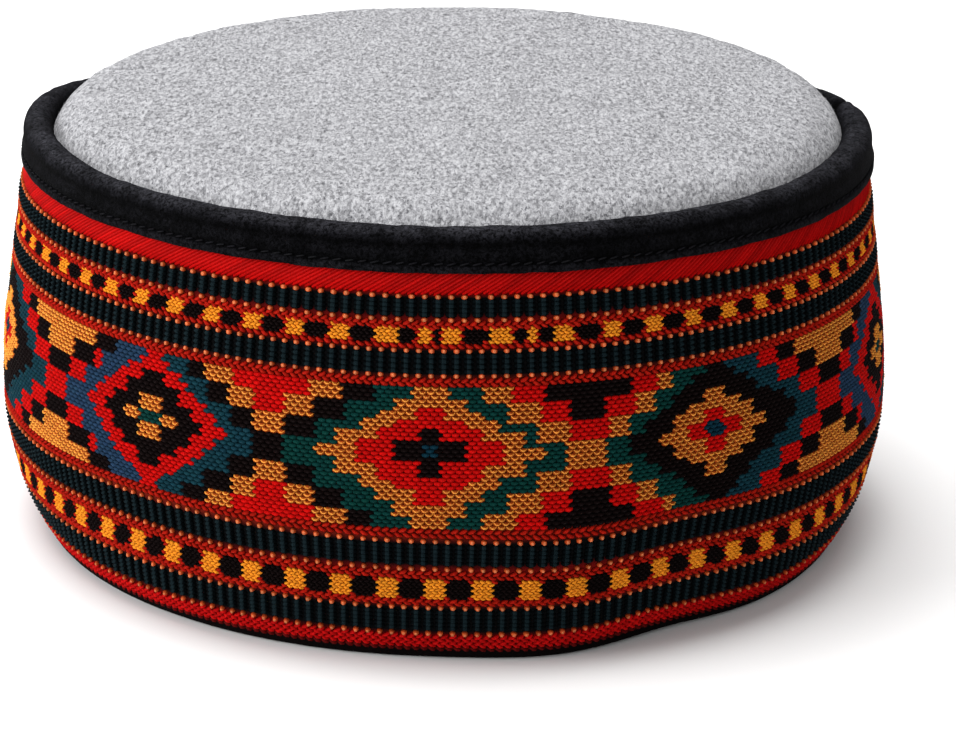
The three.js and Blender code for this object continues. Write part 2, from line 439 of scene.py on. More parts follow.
nap_tree, nap_in, nap_out = start_tree("scattered_nap", [
    ("Fibre", "Object"), ("Density", "Float"), ("Tilt", "Float"), ("Seed", "Int"), ("Material", "Material"),
])
nap_points = add_node(nap_tree, "GeometryNodeDistributePointsOnFaces", {
    "Mesh": nap_in["Geometry"], "Density": nap_in["Density"], "Seed": nap_in["Seed"]})
nap_spin = add_node(nap_tree, "FunctionNodeRandomValue", {
    0: (0, 0, 0), 1: (0, 0, 2 * math.pi), "Seed": nap_in["Seed"]}, data_type="FLOAT_VECTOR")
nap_lean = add_node(nap_tree, "ShaderNodeCombineXYZ", {"Y": nap_in["Tilt"]})
nap_leant = add_node(nap_tree, "FunctionNodeEulerToRotation", {0: nap_lean.outputs[0]})
nap_spun = add_node(nap_tree, "FunctionNodeEulerToRotation", {0: nap_spin.outputs[0]})
nap_turned = add_node(nap_tree, "FunctionNodeRotateRotation", {
    "Rotation": nap_spun.outputs[0], "Rotate By": nap_leant.outputs[0]}, rotation_space="LOCAL")
nap_faced = add_node(nap_tree, "FunctionNodeRotateRotation", {
    "Rotation": nap_points.outputs["Rotation"], "Rotate By": nap_turned.outputs[0]}, rotation_space="LOCAL")
nap_size = add_node(nap_tree, "FunctionNodeRandomValue", {
    2: FIBRE_SIZES[0], 3: FIBRE_SIZES[1], "Seed": nap_in["Seed"]}, data_type="FLOAT")
nap_fibre = add_node(nap_tree, "GeometryNodeObjectInfo", {"Object": nap_in["Fibre"]})
nap_laid = add_node(nap_tree, "GeometryNodeInstanceOnPoints", {
    "Points": nap_points.outputs["Points"], "Instance": nap_fibre.outputs["Geometry"],
    "Rotation": nap_faced.outputs[0], "Scale": nap_size.outputs[1]})
finish_tree(nap_tree, nap_laid.outputs["Instances"], nap_in["Material"], nap_out)

shown_radii, shown_heights = outer_radii[CROWN_SIDE_LEVELS:], outer_heights[CROWN_SIDE_LEVELS:]
felt_fibre = bent_fibre("felt_fibre", FIBRE_LENGTH, FIBRE_WIDTH, FIBRE_BEND)
fuzz_bed = lofted("fuzz_bed", crown_points(shown_radii, shown_heights, all_round))
fuzz = grown("crown_fibres", fuzz_bed, nap_tree, {
    "Fibre": felt_fibre, "Density": FIBRE_DENSITY, "Tilt": FIBRE_TILT, "Seed": 5, "Material": felt})
bpy.data.objects.remove(fuzz_bed)
bpy.data.objects.remove(felt_fibre)
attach(fuzz, "root")

# Band
# The ground cloth of the woven cuff: a stiff strip sewn into a ring, with its lower edge rolled
# under as a hem. It shows as the dark ground between the coloured threads.
BAND_WALL = 1.8
GROUND_DEPTH = 0.6
GROUND_LEVELS = 58
INNER_LEVELS = 16
HEM_ROLL = 2.3
HEM_SWELL = 0.75
UNDER_BINDING = 1.2
SLOPE_STEP = 0.8


def give_values(mesh, name, kind, values):
    """Values for the points of a mesh, under that name."""
    key = {"FLOAT": "value", "FLOAT_VECTOR": "vector", "FLOAT_COLOR": "color"}[kind]
    mesh.attributes.new(name, kind, "POINT").data.foreach_set(key, np.ravel(values))


def on_band(azimuth, height, out):
    """Points in metres so far off the band's outer face, along its normal."""
    slope = bulge_at(height + SLOPE_STEP / 2) - bulge_at(height - SLOPE_STEP / 2)
    steep = np.sqrt(slope**2 + SLOPE_STEP**2)
    radius = bulge_at(height) + out * SLOPE_STEP / steep
    radius, settled = settle(azimuth, radius, height - out * slope / steep)
    return placed(azimuth, radius, np.maximum(settled, 0))


hem_heights = np.array([0, 0.25, 0.7, 1.2, 1.7, 2.2])
ground_heights = np.concatenate([hem_heights, np.linspace(2.7, BAND_HEIGHT - UNDER_BINDING, GROUND_LEVELS)])
hem_swell = HEM_SWELL * np.sqrt(np.clip(1 - (ground_heights / HEM_ROLL - 0.5) ** 2 * 4, 0, 1))
ground_out = hem_swell - GROUND_DEPTH
outer_ground = on_band(all_round[None, :], ground_heights[:, None], ground_out[:, None])
inner_levels = np.linspace(0, BAND_HEIGHT - UNDER_BINDING, INNER_LEVELS)[::-1]
inner_ground = on_band(all_round[None, :], inner_levels[:, None], -BAND_WALL)
hem_line = settle(all_round, 0, np.zeros(len(all_round)))[1] * MM
outer_ground[0, :, 2] = hem_line
inner_ground[-1, :, 2] = hem_line
band = lofted("band_ground", np.concatenate([outer_ground, inner_ground]), section_closed=True)

# Each height of the ground has the colour that shows between the threads there, from the hem up.
# These are darker than the threads above them: partly the ground yarn's own colour, partly painted shade in
# the gaps
GROUND_COLOURS_AND_SHADE = [
    (2.3, (9, 6, 6)), (6.5, (90, 10, 7)), (13.6, (8, 8, 9)), (15.5, (96, 12, 10)), (20.6, (70, 26, 12)),
    (22.5, (96, 12, 10)), (29.1, (8, 8, 9)), (31.7, (100, 24, 14)), (60.5, (42, 12, 9)),
    (62.2, (100, 24, 14)), (67.6, (8, 8, 9)), (69.0, (96, 12, 10)), (72.0, (70, 26, 12)),
    (73.6, (96, 12, 10)), (78.0, (8, 8, 9)), (BAND_HEIGHT, (140, 14, 8)),
]
ground_tops = [top for top, _ in GROUND_COLOURS_AND_SHADE]
ground_colours = np.array([linear(*colour) for _, colour in GROUND_COLOURS_AND_SHADE])
level_heights = np.concatenate([ground_heights, inner_levels])
level_dyes = np.minimum(np.searchsorted(ground_tops, level_heights), len(ground_tops) - 1)
level_colours = ground_colours[level_dyes]
give_values(band.data, "dye", "FLOAT_COLOR", np.repeat(level_colours, len(all_round), axis=0))

ground, ground_tree, ground_shader = cloth_material("ground_cloth", roughness=0.9)
ground_dye = add_node(ground_tree, "ShaderNodeAttribute", attribute_name="dye")
ground_yarn = add_mottle(ground_tree, [(0.3, 0.6), (0.7, 1)], scale=900, detail=4)
ground_colour = add_mix(ground_tree, "MULTIPLY", ground_dye.outputs["Color"], ground_yarn)
ground_tree.links.new(ground_colour, ground_shader.inputs["Base Color"])
ground_relief = add_noise(ground_tree, scale=2500, detail=4)
add_bump(ground_tree, ground_shader, ground_relief, strength=0.6, distance=0.0002)
band.data.materials.append(ground)

# Threads of the band
# Wool threads that float over the ground cloth in rows, each a small pillow held down at both
# ends. They are laid on a flat strip, as they are woven, and the strip is then bent round the cap.
STRIP_RADIUS = 95.0
STRIP_PER_DEGREE = math.radians(STRIP_RADIUS)
THREAD_FLOOR = -0.68
SIZE_VARIES = 0.06
TINT_VARIES = 0.04
SPREAD_HEIGHT = 18.0
SPREAD_END = 30
SPREAD_SIDE = 58
SPREAD_FADE = (75, 130)
# Places where the rows of the weave lie higher or lower than elsewhere, as (azimuth, how far it
# reaches to each side, height, how far it reaches up and down, shift up)
PUCKERS = [
    (-60, 28, 7, 6, -1.0), (-42, 15, 25, 9, 0.9), (55, 22, 7, 5, -0.9),
    (16, 9, 27, 9, -0.9), (28, 6, 22, 12, 0.5), (26, 4, 7, 7, 0.7),
]
DYES = {
    "red": (183, 10, 8),
    "twill_red": (168, 8, 7),
    "deep_red": (160, 24, 12),
    "hem_red": (184, 14, 14),
    "hem_painted_shade": (92, 14, 13),
    "orange": (244, 158, 64),
    # Painted shade: the dark orange-brown of the orange threads' shaded bodies, laid under the crescents
    "shade": (158, 70, 24),
    "amber": (232, 140, 34),
    "black": (14, 7, 7),
    "green": (7, 50, 46),
    "blue": (32, 54, 78),
    "slate": (16, 50, 60),
    "teal": (10, 44, 58),
    "dot": (178, 70, 31),
    "rib": (4, 8, 10),
    "black_thread": (22, 22, 25),
}
DYE_NAMES = list(DYES)
DYE_COLOURS = np.array([linear(*colour) for colour in DYES.values()])


def thread_shape(name, stations, across, sag, blunt, ridged=False):
    """A closed pillow 1 wide along X, 1 tall along Y and 1 high along Z. Its middle hangs by sag.
    Its crest value is its height, or, where it is ridged, the height of its middle line."""
    along = -np.cos(np.pi * np.arange(1, stations + 1) / (stations + 1))
    swell = (1 - along**2) ** blunt
    side = -np.cos(np.pi * np.arange(across) / (across - 1))
    middle = sag * (along**2 - 0.5)
    points = [(0.5 * x, m + 0.5 * w * s, w * math.sqrt(max(0, 1 - s * s)))
              for x, w, m in zip(along, swell, middle) for s in side]
    crests = [w if ridged else w * math.sqrt(max(0, 1 - s * s)) for w in swell for s in side] + [0, 0]
    left, right = len(points), len(points) + 1
    points += [(-0.5, 0.5 * sag, 0), (0.5, 0.5 * sag, 0)]
    faces = []
    for i in range(stations - 1):
        a, b = i * across, (i + 1) * across
        faces += [(a + m, b + m, b + m + 1, a + m + 1) for m in range(across - 1)]
        faces.append((a, a + across - 1, b + across - 1, b))
    end = (stations - 1) * across
    faces += [(left, m, m + 1) for m in range(across - 1)]
    faces += [(end + m, right, end + m + 1) for m in range(across - 1)]
    faces += [(left, across - 1, 0), (end, end + across - 1, right)]
    made = smooth_object(name, points, faces)
    give_values(made.data, "crest", "FLOAT", crests)
    return made


laid_tree, laid_in, laid_out = start_tree("laid_threads", [
    ("Thread", "Object"), ("Wobble", "Float"), ("Seed", "Int"), ("Material", "Material"),
])
laid_turn = add_node(laid_tree, "GeometryNodeInputNamedAttribute", {"Name": "turn"}, data_type="FLOAT")
laid_size = add_node(laid_tree, "GeometryNodeInputNamedAttribute", {"Name": "size"},
                     data_type="FLOAT_VECTOR")
laid_less = add_node(laid_tree, "ShaderNodeMath", {0: 0.0, 1: laid_in["Wobble"]}, operation="SUBTRACT")
laid_wobble = add_node(laid_tree, "FunctionNodeRandomValue", {
    2: laid_less.outputs[0], 3: laid_in["Wobble"], "Seed": laid_in["Seed"]}, data_type="FLOAT")
laid_angle = add_node(laid_tree, "ShaderNodeMath", {0: laid_turn.outputs[0], 1: laid_wobble.outputs[1]})
laid_euler = add_node(laid_tree, "ShaderNodeCombineXYZ", {"Z": laid_angle.outputs[0]})
laid_rotation = add_node(laid_tree, "FunctionNodeEulerToRotation", {0: laid_euler.outputs[0]})
laid_thread = add_node(laid_tree, "GeometryNodeObjectInfo", {"Object": laid_in["Thread"]})
laid_points = add_node(laid_tree, "GeometryNodeInstanceOnPoints", {
    "Points": laid_in["Geometry"], "Instance": laid_thread.outputs["Geometry"],
    "Rotation": laid_rotation.outputs[0], "Scale": laid_size.outputs[0]})
finish_tree(laid_tree, laid_points.outputs["Instances"], laid_in["Material"], laid_out)


def wool_material(name, painted_shade_stops, painted_highlight_stops):
    """Dyed wool with painted shade where a thread goes down into the cloth, and a painted highlight along
    its crest.
    """
    made, tree, shader = cloth_material(name, roughness=0.8)
    dye = add_node(tree, "ShaderNodeAttribute", attribute_name="dye")
    crest = add_node(tree, "ShaderNodeAttribute", attribute_name="crest")
    fibres = add_mottle(tree, [(0.3, (0.6, 0.58, 0.58, 1)), (0.65, 1)],
                        scale=2600, detail=5, distortion=0.5)
    # Painted shade where the thread dips into the cloth, and a painted highlight along its crest
    depth = add_ramp(tree, crest.outputs["Fac"], painted_shade_stops)
    dark = add_mix(tree, "MULTIPLY", dye.outputs["Color"], depth, fibres)
    light = add_mix(tree, "MULTIPLY", add_ramp(tree, crest.outputs["Fac"], painted_highlight_stops), fibres)
    tree.links.new(add_mix(tree, "ADD", dark, light), shader.inputs["Base Color"])
    add_bump(tree, shader, add_noise(tree, scale=6000, detail=3), strength=0.7, distance=0.00012)
    return made


# Each wool's painted shade stops, then its painted highlight stops: a faint glint on plain wool, a bright
# line on the orange crescents, a teal line down each rib and a pale spot on each dot
wool = wool_material("dyed_wool", [(0.0, 0.45), (0.6, 0.85), (1.0, 1.1)],
                     [(0.85, 0), (1.0, (0.012, 0.01, 0.01, 1))])
bright_wool = wool_material("bright_wool", [(0.0, 0.3), (0.6, 0.8), (0.95, 1.0)],
                            [(0.8, 0), (1.0, (0.06, 0.05, 0.03, 1))])
rib_wool = wool_material("rib_wool", [(0.0, 0.25), (0.6, 1.0)],
                         [(0.9, 0), (1.0, (0.009, 0.019, 0.023, 1))])
bead_wool = wool_material("bead_wool", [(0.0, 0.3), (0.7, 0.95)],
                          [(0.72, 0), (1.0, (0.3, 0.26, 0.13, 1))])


def lay_threads(name, shape, azimuth, height, size, turn, dyes, seed, wobble=0.05, shades=0.14,
                made_of=wool, level=THREAD_FLOOR):
    """Threads at these places on the band. Sizes are (width, height, rise), turns in degrees, and
    shades is how far one thread's dye may be lighter or darker than the next one's."""
    azimuth, height, turn, dyes = np.broadcast_arrays(azimuth, height, turn, dyes)
    count = azimuth.size
    random = np.random.default_rng(seed)
    levels = np.broadcast_to(level, azimuth.shape).ravel()
    flat = np.stack([azimuth.ravel() * STRIP_PER_DEGREE, height.ravel(), levels], -1)
    points = bpy.data.meshes.new(name + "_places")
    points.from_pydata([tuple(p) for p in flat * MM], [], [])
    size = np.broadcast_to(np.asarray(size, dtype=float), azimuth.shape + (3,)).reshape(-1, 3)
    size = size * random.uniform(1 - SIZE_VARIES, 1 + SIZE_VARIES, (count, 3))
    give_values(points, "size", "FLOAT_VECTOR", size * MM)
    give_values(points, "turn", "FLOAT", np.radians(turn))
    colours = DYE_COLOURS[dyes.ravel()].copy()
    shade = random.uniform(1 - shades, 1 + shades, (count, 1))
    colours[:, :3] *= shade * random.uniform(1 - TINT_VARIES, 1 + TINT_VARIES, (count, 3))
    give_values(points, "dye", "FLOAT_COLOR", colours)
    source = linked(name + "_places", points)
    piece = grown(name, source, laid_tree, {
        "Thread": shape, "Wobble": wobble, "Seed": seed, "Material": made_of})
    bpy.data.objects.remove(source)
    where = np.empty(len(piece.data.vertices) * 3)
    piece.data.vertices.foreach_get("co", where)
    where = where.reshape(-1, 3) / MM
    azimuths = where[:, 0] / STRIP_PER_DEGREE
    azimuths = azimuths + spread_low(azimuths, where[:, 1])
    bent = on_band(azimuths, where[:, 1] + drift(azimuths, where[:, 1]), where[:, 2])
    piece.data.vertices.foreach_set("co", bent.ravel())
    piece.data.update()
    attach(piece, "root")


def drift(azimuth, height):
    """How far up the weave has shifted where the cuff is puckered."""
    total = 0
    for where, wide, middle, tall, shift in PUCKERS:
        around = turn_between(azimuth, where) / wide
        level = (height - middle) / tall
        total = total + shift * np.exp(-(around**2) - level**2)
    return total


def spread_low(azimuth, height):
    """Degrees by which the weave spreads to both sides below, so that its columns stay upright."""
    narrower = np.log(bulge_at(SPREAD_HEIGHT) / bulge_at(height))
    narrower = narrower * (1 - eased(height, SPREAD_HEIGHT, SPREAD_END))
    sideways = np.tan(np.radians(np.clip(azimuth, -SPREAD_SIDE, SPREAD_SIDE)))
    return np.degrees(narrower * sideways * (1 - eased(np.abs(azimuth), *SPREAD_FADE)))


def rows_between(low, high, pitch):
    """Heights of rows that fill the way from low to high, near that pitch."""
    count = max(1, round((high - low) / pitch))
    return low + (np.arange(count) + 0.5) * (high - low) / count


def columns_round(count, rows, shift):
    """Azimuths of count threads in each row, where every other row is moved by shift of a thread."""
    return (np.arange(count)[None, :] + shift * (np.arange(rows)[:, None] % 2)) * 360 / count - 180


def zigzag(count, slant):
    """Turns that lean one way and the other in alternate rows."""
    return np.where(np.arange(count) % 2, slant, -slant)[:, None]


def dye_number(name):
    """The place of a dye in the lists above."""
    return DYE_NAMES.index(name)


crescent = thread_shape("crescent", stations=4, across=3, sag=0.75, blunt=0.3)
float_shape = thread_shape("float", stations=3, across=3, sag=0.2, blunt=0.35)
weft_shape = thread_shape("weft", stations=4, across=3, sag=0.0, blunt=0.45, ridged=True)
bead_shape = thread_shape("bead", stations=4, across=4, sag=0.0, blunt=0.5)
cord_shape = thread_shape("cord", stations=7, across=3, sag=0.0, blunt=0.15)

# The motif field: diamonds and stepped blocks, charted in steps of 1.2 degrees and in thread rows.
# Each layer of a diamond is drawn over the one before. Its rise is how far its middle row lies above
# the field's, and its steps are (rows from that middle, steps to its edge), on the left and, where
# they differ, on the right.
FIELD_LOW, FIELD_HIGH = 31.7, 60.5
FIELD_COLUMNS, FIELD_ROWS = 366, 35
CHART_STEP = 1.2
CHART_START = -37.4
CHART_REPEAT = 93
CHART_SEAM = 170
HALF_ROWS = FIELD_ROWS / 2
CRESCENT_SIZE = (1.62, 0.78, 0.86)
CRESCENT_RAISE = 0.1
FLOAT_SIZE = (1.95, 1.5, 0.68)
FLOAT_TURN = 4
BLOCK_TOPS = (3.4, 8.3, 13.1, 18)
DIAMONDS = [
    {"middle": 0, "layers": [
        ("blue", 0, [(3.4, 13.1), (8.3, 10.2), (13.1, 7.7), (18, 5.7)], [(18, 0)]),
        ("slate", 0, [(18, 0)], [(3.4, 12.0), (8.3, 9.6), (13.1, 6.8), (18, 4.4)]),
        ("red", 1.2, [(1.5, 9.4), (4.4, 8.1), (6.8, 6.8), (9.0, 5.5), (11, 4.5), (13, 3.3), (15, 2.0),
                      (18, 1.2)]),
        ("black", 1.2, [(1.6, 6.5), (5.0, 5.0), (8.6, 3.3), (11.7, 1.4)]),
        ("orange", 1.2, [(1.7, 3.5), (5.7, 1.4)]),
        ("green", 1.2, [(1.7, 1.3)]),
    ]},
    {"middle": 29.95, "layers": [
        ("green", 0, [(3.4, 14.4), (8.3, 11.1), (13.1, 8.3), (18, 5.7)],
         [(3.4, 13.3), (8.3, 10.3), (13.1, 7.7), (18, 5.3)]),
        ("orange", 1.5, [(1.6, 11.3), (5.8, 9.3), (8.5, 6.9), (11.1, 5.3), (14.3, 3.6), (18, 1.7)]),
        ("red", 1.8, [(2.6, 7.1), (6.2, 5.2), (8.7, 3.3), (12.2, 1.4)]),
        ("black", 2.2, [(2.1, 3.3), (5.6, 0.95)]),
        ("teal", 2.2, [(1.2, 0.8)]),
    ]},
    {"middle": 59.7, "layers": [
        ("green", 0, [(3.4, 12.2), (8.3, 9.7), (13.1, 6.9), (18, 4.8)], [(18, 0)]),
        ("slate", 0, [(18, 0)], [(3.4, 15.3), (8.3, 12.2), (13.1, 8.8), (18, 5.9)]),
        ("black", 1.5,
         [(2.6, 9.8), (5.4, 8.4), (8.2, 6.7), (10.4, 5.1), (13.2, 3.9), (15.6, 2.4), (18, 1.0)],
         [(2.6, 11.6), (5.4, 9.6), (8.2, 7.6), (10.4, 5.8), (13.2, 4.3), (15.6, 2.8), (18, 1.4)]),
        ("orange", 1.6, [(1.5, 6.5), (5.5, 4.9), (7.8, 3.25), (11, 1.15)]),
        ("red", 1.7, [(2.1, 3.4), (5.6, 1.2)]),
        ("teal", 1.7, [(1.3, 1.15), (2.4, 0.8)]),
    ]},
]
# Between two diamonds, each block row has its dyes from the middle outwards, with the steps to each
# one's edge. The last dye of a row runs on to the diamonds. Below the middle row, each block row lies
# to the right of the one above it by the lean.
FILLERS = [
    {"middle": 13.75, "to": 30.1, "lean": 0.27, "rows": [
        [("black", 99)],
        [("orange", 1.7), ("black", 99)],
        [("red", 1.6), ("orange", 4.4), ("black", 99)],
        [("red", 4.3), ("orange", 7.4), ("black", 99)],
    ]},
    {"middle": 45.6, "to": 59.7, "lean": 0.08, "rows": [
        [("orange", 99)],
        [("red", 2.0), ("orange", 99)],
        [("black", 1.9), ("red", 4.9), ("orange", 99)],
        [("black", 4.5), ("red", 7.6), ("orange", 99)],
    ]},
    {"middle": 78.0, "to": 93, "lean": 0, "rows": [
        [("red", 99)],
        [("black", 2.2), ("red", 99)],
        [("orange", 2.7), ("black", 6.1), ("red", 99)],
        [("orange", 6.3), ("black", 9.4), ("red", 99)],
    ]},
]


def edge_at(steps, rows):
    """Steps to the edge at so many rows from the middle row, -1 beyond the last."""
    tops, edges = zip(*steps)
    return np.array(edges + (-1,))[np.searchsorted(tops, rows)]


def charted(azimuth, row):
    """Dye numbers of the field's threads."""
    along = (azimuth - CHART_START - 360 * (azimuth > CHART_SEAM)) / CHART_STEP % CHART_REPEAT
    dyes = np.zeros(along.shape, dtype=int)
    block = np.searchsorted(BLOCK_TOPS, np.abs(row))
    start = 0
    for filler in FILLERS:
        here = (along >= start) & (along < filler["to"])
        start = filler["to"]
        away = np.abs(along - filler["middle"] - np.where(row < 0, filler["lean"] * block, 0))
        for number, spans in enumerate(filler["rows"]):
            for name, edge in reversed(spans):
                dyes[here & (block == number) & (away <= edge)] = dye_number(name)
    for diamond in DIAMONDS:
        across = (along - diamond["middle"] + CHART_REPEAT / 2) % CHART_REPEAT - CHART_REPEAT / 2
        for name, rise, left, *right in diamond["layers"]:
            away = np.where(row > rise, row - rise, rise - row)
            away = away * HALF_ROWS / np.where(row > rise, HALF_ROWS - rise, HALF_ROWS + rise)
            inside = (across > -edge_at(left, away)) & (across < edge_at(right[0] if right else left, away))
            dyes[inside] = dye_number(name)
    return dyes


field_heights = rows_between(FIELD_LOW, FIELD_HIGH, (FIELD_HIGH - FIELD_LOW) / FIELD_ROWS)[:, None]
field_azimuths = columns_round(FIELD_COLUMNS, FIELD_ROWS, 0.5)
field_rows = (np.arange(FIELD_ROWS) - (FIELD_ROWS - 1) / 2)[:, None]
field_azimuths, field_heights, field_rows = np.broadcast_arrays(field_azimuths, field_heights, field_rows)
field_dyes = charted(field_azimuths, field_rows)
bright = field_dyes == dye_number("orange")
crescent_heights = field_heights[bright] + CRESCENT_RAISE
lay_threads("field_crescent_threads", crescent, field_azimuths[bright], crescent_heights,
            CRESCENT_SIZE, 0, dye_number("orange"), seed=11, made_of=bright_wool)
# Under each orange crescent, a wide float of dark orange-brown is painted shade for the thread's shaded
# body
lay_threads("field_shade_threads", float_shape, field_azimuths[bright], field_heights[bright],
            FLOAT_SIZE, FLOAT_TURN, dye_number("shade"), seed=12)
lay_threads("field_float_threads", float_shape, field_azimuths[~bright], field_heights[~bright],
            FLOAT_SIZE, FLOAT_TURN, field_dyes[~bright], seed=13)

# The striped borders: upright ribs of near-black wool, with a row of bright dots along both edges,
# one dot for each rib. The rows of threads that make a rib lie a pitch apart.
RIB_PITCH = 0.95
STRIPES = [
    {"low": 74.2, "high": 77.7, "dots": (73.6, 78.1), "ribs": 227},
    {"low": 62.9, "high": 67.0, "dots": (62.6, 67.5), "ribs": 242},
    {"low": 23.6, "high": 28.2, "dots": (22.8, 28.95), "ribs": 257},
    {"low": 7.8, "high": 12.9, "dots": (6.9, 13.65), "ribs": 248},
]
for number, stripe in enumerate(STRIPES):
    heights = rows_between(stripe["low"], stripe["high"], RIB_PITCH)[:, None]
    width = 360 / stripe["ribs"] * STRIP_PER_DEGREE
    rib_size = (width * 0.94, 1.6, 0.95)
    lay_threads(f"stripe_{number + 1}_ribs", weft_shape, columns_round(stripe["ribs"], len(heights), 0),
                heights, rib_size, 0, dye_number("rib"), seed=20 + number, wobble=0.02, made_of=rib_wool)
    dots = np.array(stripe["dots"])[:, None]
    dot_size = (width * 0.52, 1.25, 1.0)
    lay_threads(f"stripe_{number + 1}_dots", bead_shape, columns_round(stripe["ribs"], 2, 0),
                dots, dot_size, 0, dye_number("dot"), seed=30 + number, wobble=0.25, shades=0.24,
                made_of=bead_wool)

# Plain red rows that part the stripes and the checks, and cover the turn of the hem, as (height of
# the lower edge, height of the upper edge, dye)
RED_PITCH = 0.85
RED_SIZE = (1.95, 1.3, 0.8)
RED_SLANT = 28
RED_COLUMNS = 360
RED_ROWS = [
    (71.9, 73.3, "deep_red"), (67.9, 69.0, "deep_red"),
    (60.5, 62.1, "deep_red"), (29.6, 31.7, "deep_red"),
    (20.5, 22.3, "deep_red"), (14.3, 15.6, "deep_red"),
    # The lowest row has a darker red dye, painted shade towards the floor
    (3.1, 6.4, "hem_red"), (1.9, 3.1, "hem_painted_shade"),
]
for number, (low, high, dye) in enumerate(RED_ROWS):
    heights = rows_between(low, high, RED_PITCH)[:, None]
    columns = columns_round(RED_COLUMNS, len(heights), 0.5)
    lay_threads(f"red_rows_{number + 1}", float_shape, columns, heights, RED_SIZE,
                zigzag(len(heights), RED_SLANT), dye_number(dye), seed=40 + number)

# The checked borders: orange blocks and rounded black ones in turn, in a fine zigzag weave
CHECK_COLUMNS = 512
CHECK_PITCH = 0.68
CHECK_SIZE = (1.5, 1.15, 0.72)
CHECK_SLANT = 20
BLOB_HALF = 1.5
BLOB_LEAN = 0.35
BLOB_RIM = 1.12
BLOB_ROUND = (2.1, 2.4)
# The upper border has a few blocks of odd widths in front, as (azimuth, half width) of the black ones.
# The regular ones start at the azimuth called first and fill the rest of the circle.
ODD_BLOBS = [(-4.3, 1.15), (-0.9, 0.5), (3.8, 1.6), (9.1, 0.9), (12.2, 0.95), (17.5, 1.75)]
CHECKS = [
    {"low": 69.0, "high": 72.2, "odd": ODD_BLOBS, "first": 23.3, "blocks": 60},
    {"low": 15.7, "high": 20.3, "odd": [], "first": 2.1, "blocks": 64},
]


def checked(azimuth, height, check):
    """Dye numbers of a checked border's threads."""
    pitch = (360 - sum_of_odd(check)) / check["blocks"]
    blobs = [(check["first"] + pitch * number, BLOB_HALF) for number in range(check["blocks"])]
    middle = (check["low"] + check["high"]) / 2
    tall = (height - middle) / (check["high"] - check["low"]) * 2
    leant = azimuth + BLOB_LEAN * tall * np.sin(np.radians(azimuth))
    dyes = np.full(azimuth.shape, dye_number("amber"))
    for where, half in blobs + check["odd"]:
        away = turn_between(leant, where) / half
        dyes = np.where(away < BLOB_RIM, dye_number("deep_red"), dyes)
        inside = away ** BLOB_ROUND[0] + np.abs(tall) ** BLOB_ROUND[1] < 1
        dyes = np.where(inside, dye_number("black"), dyes)
    return dyes


def sum_of_odd(check):
    """Degrees that the odd blocks take up, between the last and the first regular ones."""
    if not check["odd"]:
        return 0
    return check["first"] - check["odd"][0][0]


for number, check in enumerate(CHECKS):
    heights = rows_between(check["low"], check["high"], CHECK_PITCH)[:, None]
    azimuths, heights = np.broadcast_arrays(columns_round(CHECK_COLUMNS, len(heights), 0.5), heights)
    lay_threads(f"checks_{number + 1}", float_shape, azimuths, heights, CHECK_SIZE,
                zigzag(len(heights), CHECK_SLANT), checked(azimuths, heights, check), seed=50 + number)

# The red twill strip under the binding: cords that rise to the right
TWILL_LOW, TWILL_HIGH = 78.5, 84.0
TWILL_CORDS = 450
TWILL_SLANT = 30
twill_length = (TWILL_HIGH - TWILL_LOW) / math.sin(math.radians(TWILL_SLANT))
twill_size = (twill_length, 1.4, 0.7)
lay_threads("upper_twill", cord_shape, columns_round(TWILL_CORDS, 1, 0), (TWILL_LOW + TWILL_HIGH) / 2,
            twill_size, TWILL_SLANT, dye_number("twill_red"), seed=60, wobble=0.01, shades=0.2)

for shape in (crescent, float_shape, weft_shape, bead_shape):
    bpy.data.objects.remove(shape)
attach(band, "root")
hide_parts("band")

# Binding
# A strip of black napped cloth folded over the band's top edge, sewn through near its lower edge.
# It goes once round, and its front end lies over the tail that comes from the back.
BINDING_CLOTH = 0.9
BINDING_PUFF = 0.15
BINDING_ROLL = 1.0
ROLL_FADE = (60, 120)
SIDE_ROLL = 1.1
SIDE_ROLL_FROM = (45, 72)
SIDE_ROLL_TO = (92, 118)
TAIL_BULK = 1.7
TAIL_FROM = (84, 99)
TAIL_TO = (118, 136)
BINDING_DROP = 6.2
BINDING_TUCK = 6.5
FIT = 0.3
LAP_AZIMUTH = 95
LAP_STEP = 0.9
LAP_GAP = 0.8
GROOVE_HEIGHT = 1.9
GROOVE_DEPTH = 0.4
GROOVE_WIDTH = 0.35
LIP_THINNER = 0.3
LIP_SOFTNESS = 0.4
CUT_EDGE = 0.25
CUT_REACH = 0.6
THINNEST = 0.15
OUTER_SHARE = 0.45
TAIL_SHARE_FROM = 0.42
TAIL_SHARE_WIDE = 0.56
LIP_LIGHTER = 0.42
# Painted shade just above the groove: the share of the painted top highlight left there, and how far up it
# fades
TOP_LIGHT_AT_GROOVE = 0.2
GROOVE_SHADE_RISE = 3
NECK_FADE = 5
NAP_LUMP = 0.1
edge_radius = BAND_WALL / 2
edge_middle = NECK_RADIUS - edge_radius
edge_height = BAND_HEIGHT - edge_radius


def neck_at(height):
    """The band's radius near its top, where it comes to the neck radius at the edge."""
    below = 1 - eased(height, edge_height - NECK_FADE, edge_height)
    return NECK_RADIUS + (bulge_at(height) - NECK_RADIUS) * below


def saddle(reach_out, reach_in, off):
    """Radii and heights of a face that straddles the band's top edge, up, over and down inside."""
    outer = np.linspace(edge_height - reach_out, edge_height, 24)[:-1]
    inner = np.linspace(edge_height, edge_height - reach_in, 12)[1:]
    angles = np.linspace(0, np.pi, 17)
    around_edge = edge_radius + off
    over = edge_middle + around_edge * np.cos(angles)
    radii = [neck_at(outer) + off, over, neck_at(inner) - BAND_WALL - off]
    heights = [outer, edge_height + around_edge * np.sin(angles), inner]
    return np.concatenate(radii), np.concatenate(heights)


